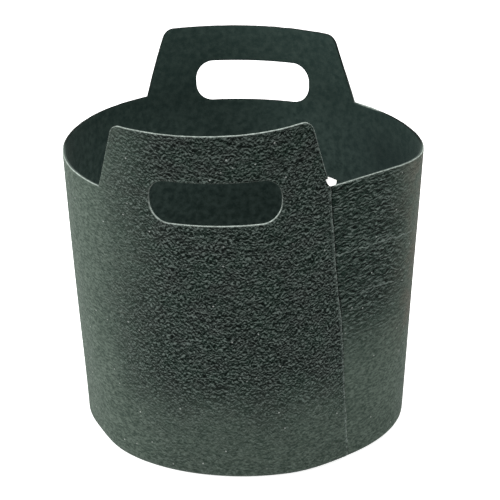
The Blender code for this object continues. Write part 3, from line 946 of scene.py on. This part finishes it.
def wall_half(name, edge, slot, pitch, seed):
    """One half of the strip with its handle, its edges wavy and its outer end bowed."""
    line = walk(edge, EDGE_PITCH, False)
    cut_end = (line[:, 0] > SEAM_TOP - CUT_END_REACH) & (line[:, 1] > CORNER_TOP)
    cut_end &= line[:, 1] < RIM_HEIGHT
    line = wavy(line, False, np.where(cut_end, SEAM_WAVES, EDGE_WAVES), WAVE_LENGTH, seed)
    end = (line[:, 0] > SEAM_TOP - BOW_REACH) & (line[:, 1] < RIM_HEIGHT - BOW_BELOW_RIM)
    line[end, 0] += seam_bow(line[end, 1])
    sheet = Sheet([line, walk(slot, EDGE_PITCH, True)], [False, True], pitch)
    sheet.close_split()
    return sheet.piece(name, roll, wall_relief, masks, felt)


front_felt = wall_half(
    "front_felt", front_edge, slot_outline(0.0, FRONT_SLOT_RISE), (0.0016, 0.0011), 31
)
back_felt = wall_half(
    "back_felt", back_edge, slot_outline(BACK_U, BACK_SLOT_RISE), (0.0019, 0.0012), 41
)

rim = walk(arc((0, 0), DISC_RADIUS, 0, 360, DISC_POINTS)[:-1], EDGE_PITCH * 4, True)
disc_sheet = Sheet([rim], [True], (0.0020, 0.0020))
base_felt = disc_sheet.piece("base_felt", disc_place, disc_relief, masks, felt)


# ---------------------------------------------------------------- adhesive
FILM_POINTS, FILM_WAVES = 140, 0.0008


def finish_mesh(name, bm, material):
    mesh = bpy.data.meshes.new(name)
    bm.to_mesh(mesh)
    bm.free()
    mesh.shade_smooth()
    mesh.materials.append(material)
    obj = bpy.data.objects.new(name, mesh)
    bpy.context.scene.collection.objects.link(obj)
    return obj


def lap_film():
    """The outline of the adhesive pressed between the plies, uneven on both sides."""
    low, high = CORNER_TOP + FELT + LAP_BOND_MARGIN, RIM_HEIGHT - LAP_BOND_MARGIN
    v = np.linspace(low, high, FILM_POINTS)
    middle = seam_line(v) - LAP_WIDTH / 2
    right = middle + LAP_BOND_WIDTH / 2 + FILM_WAVES * noise(v / 0.009, 0.5, 51)
    left = middle - LAP_BOND_WIDTH / 2 + FILM_WAVES * noise(v / 0.008, 0.5, 52)
    return np.concatenate([np.stack([right, v], 1), np.stack([left, v], 1)[::-1]])


bond_sheet = Sheet(
    [walk(lap_film(), 0.0018, True)], [True], (0.0022, 0.0022), BOND, BOND_RINGS
)
lap_glue = bond_sheet.piece(
    "lap_adhesive",
    lambda u, v, n: roll(u, v, n - (FELT + BOND) / 2 - GAP),
    lambda u, v, side: layered(u, v, (0.00008, 0.003, 0.003, 53)),
    masks,
    bond_white,
)

BEAD_SPHERE = 1.25
BEAD_FACETS = (  # the way each facet looks, and how far out it lies
    ((-0.30, 0.0, 0.95), 0.96),
    ((0.53, 0.0, 0.85), 0.76),
    ((1.0, 0.1, -0.09), 0.97),
    ((0.0, -0.1, -1.0), 0.92),
    ((-0.72, 0.1, -0.69), 0.73),
    ((-0.97, 0.0, -0.25), 0.76),
    ((0.1, -0.95, 0.3), 0.84),
    ((0.0, 0.95, 0.0), 0.95),
    ((0.3, -0.8, -0.6), 1.12),
)
FACET_FLATNESS = 0.95


def squeezed_bead():
    """The chip of set adhesive beside the handle's foot: blunt, lumpy and many-sided."""
    bm = bmesh.new()
    bmesh.ops.create_icosphere(bm, subdivisions=4, radius=1.0)
    for vert in bm.verts:
        p = vert.co * BEAD_SPHERE
        for way, reach in BEAD_FACETS:
            way = Vector(way).normalized()
            over = p.dot(way) - reach
            if over > 0:
                p -= way * over * FACET_FLATNESS
        lump = noise(p.x * 2.3 + 5, p.z * 2.3 + p.y * 1.7, 61) * 0.030
        vert.co = p * (1 + float(lump))
    u = SEAM_TOP + BEAD_HALF_SIZE[0] - BEAD_OVERLAP
    v = RIM_HEIGHT + BEAD_HALF_SIZE[2] + BEAD_RAISED
    place = Vector(roll(u, v, BEAD_DEPTH))
    turn = Matrix.Rotation(FRONT_ANGLE + u / RIM_RADIUS + math.pi / 2, 4, "Z")
    size = Matrix.Diagonal(Vector(BEAD_HALF_SIZE)).to_4x4()
    bmesh.ops.transform(bm, matrix=Matrix.Translation(place) @ turn @ size, verts=bm.verts)
    return finish_mesh("lap_bead_white", bm, bead_white)


bead = squeezed_bead()

# ---------------------------------------------------------------- bodies, slots, sheets
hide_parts("wall_strip", "front_handle")
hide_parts("front_handle_left_leg", "front_handle_right_leg")
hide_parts("wall_strip", "back_handle")
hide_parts("back_handle_left_leg", "back_handle_right_leg")
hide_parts("base_disc")
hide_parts("lap_bond")
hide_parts("lap_bead")
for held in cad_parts["base_bond"].material_slots:
    held.material = bond_white

LEAN = 0.12
HINGES = {  # a point, the axis, and the side of the pot that is outwards
    "front_grip": ((-0.0039, -0.1244, 0.2538), (0.99874, 0.04460, 0.02292), -1),
    "back_grip": ((-0.0109, 0.1297, 0.2635), (-0.99868, -0.04873, 0.01647), 1),
}


def bend_with(piece, grip):
    """Works out a line square to the hinge that leans outwards, which nothing uses, and bakes
    the piece's transform.
    """
    at, axis, out = HINGES[grip]
    at, axis = Vector(at), Vector(axis).normalized()
    way = Vector((0, out * LEAN, 1))
    way = (way - axis * way.dot(axis)).normalized()
    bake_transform(piece)


bend_with(front_felt, "front_grip")
bend_with(back_felt, "back_grip")
for piece in (base_felt, lap_glue, bead):
    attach(piece, "pot")


# ---------------------------------------------------------------- studio
LIGHTS = (  # name, place, target, size, power
    ("key_left", (-2.2, -0.7, 1.1), (0, 0, 0.15), 1.0, 55),
    ("top", (0.1, 0.3, 2.2), (0, 0, 0.2), 1.2, 20),
    ("fill_right", (2.3, -1.2, 0.9), (0, 0, 0.12), 1.0, 14),
)
WORLD_STRENGTH = 0.85
FLOOR_RADIUS = 60.0
FLOOR_GLOW = 0.75
FLOOR_TONES = (0.90, 0.90, 0.90, 1), (0.93, 0.93, 0.93, 1)
WHITE = (1, 1, 1, 1)


def studio_floor():
    m = Nodes("studio_floor")
    tone = m.noise(m.node("ShaderNodeTexCoord", out="Object"), scale=3.0)
    colour = m.mix(m.remap(tone, 0.3, 0.7), *FLOOR_TONES)
    glow = {"Emission Color": WHITE, "Emission Strength": FLOOR_GLOW}
    m.surface({"Base Color": colour, "Roughness": 0.9, **glow})
    bm = bmesh.new()
    bmesh.ops.create_circle(bm, cap_ends=True, segments=64, radius=FLOOR_RADIUS)
    finish_mesh("studio_floor", bm, m.material)


def area_light(name, place, target, size, power):
    data = bpy.data.lights.new(name, "AREA")
    data.shape, data.size, data.energy = "DISK", size, power
    light = bpy.data.objects.new(name, data)
    light.location = place
    way = Vector(target) - Vector(place)
    light.rotation_euler = way.to_track_quat("-Z", "Y").to_euler()
    bpy.context.scene.collection.objects.link(light)


def studio():
    studio_floor()
    world = bpy.data.worlds.new("studio_world")
    world.use_nodes = True
    background = world.node_tree.nodes["Background"].inputs
    background["Color"].default_value = WHITE
    background["Strength"].default_value = WORLD_STRENGTH
    bpy.context.scene.world = world
    bpy.context.scene.view_settings.view_transform = "Standard"
    for light in LIGHTS:
        area_light(*light)


CAMERA_PLACE = Vector((0.19585, -1.33320, 0.67074))
CAMERA_TARGET = Vector((0.00400, 0.00367, 0.15085))
CAMERA_LENS, SENSOR_WIDTH = 118.85, 36
CAMERA_ROLL = -0.0120


def camera():
    data = bpy.data.cameras.new("camera")
    data.lens, data.sensor_width = CAMERA_LENS, SENSOR_WIDTH
    eye = bpy.data.objects.new("camera", data)
    way = (CAMERA_TARGET - CAMERA_PLACE).to_track_quat("-Z", "Y").to_matrix().to_4x4()
    roll_turn = Matrix.Rotation(CAMERA_ROLL, 4, "Z")
    eye.matrix_world = Matrix.Translation(CAMERA_PLACE) @ way @ roll_turn
    bpy.context.scene.collection.objects.link(eye)
    bpy.context.scene.camera = eye


studio()
camera()
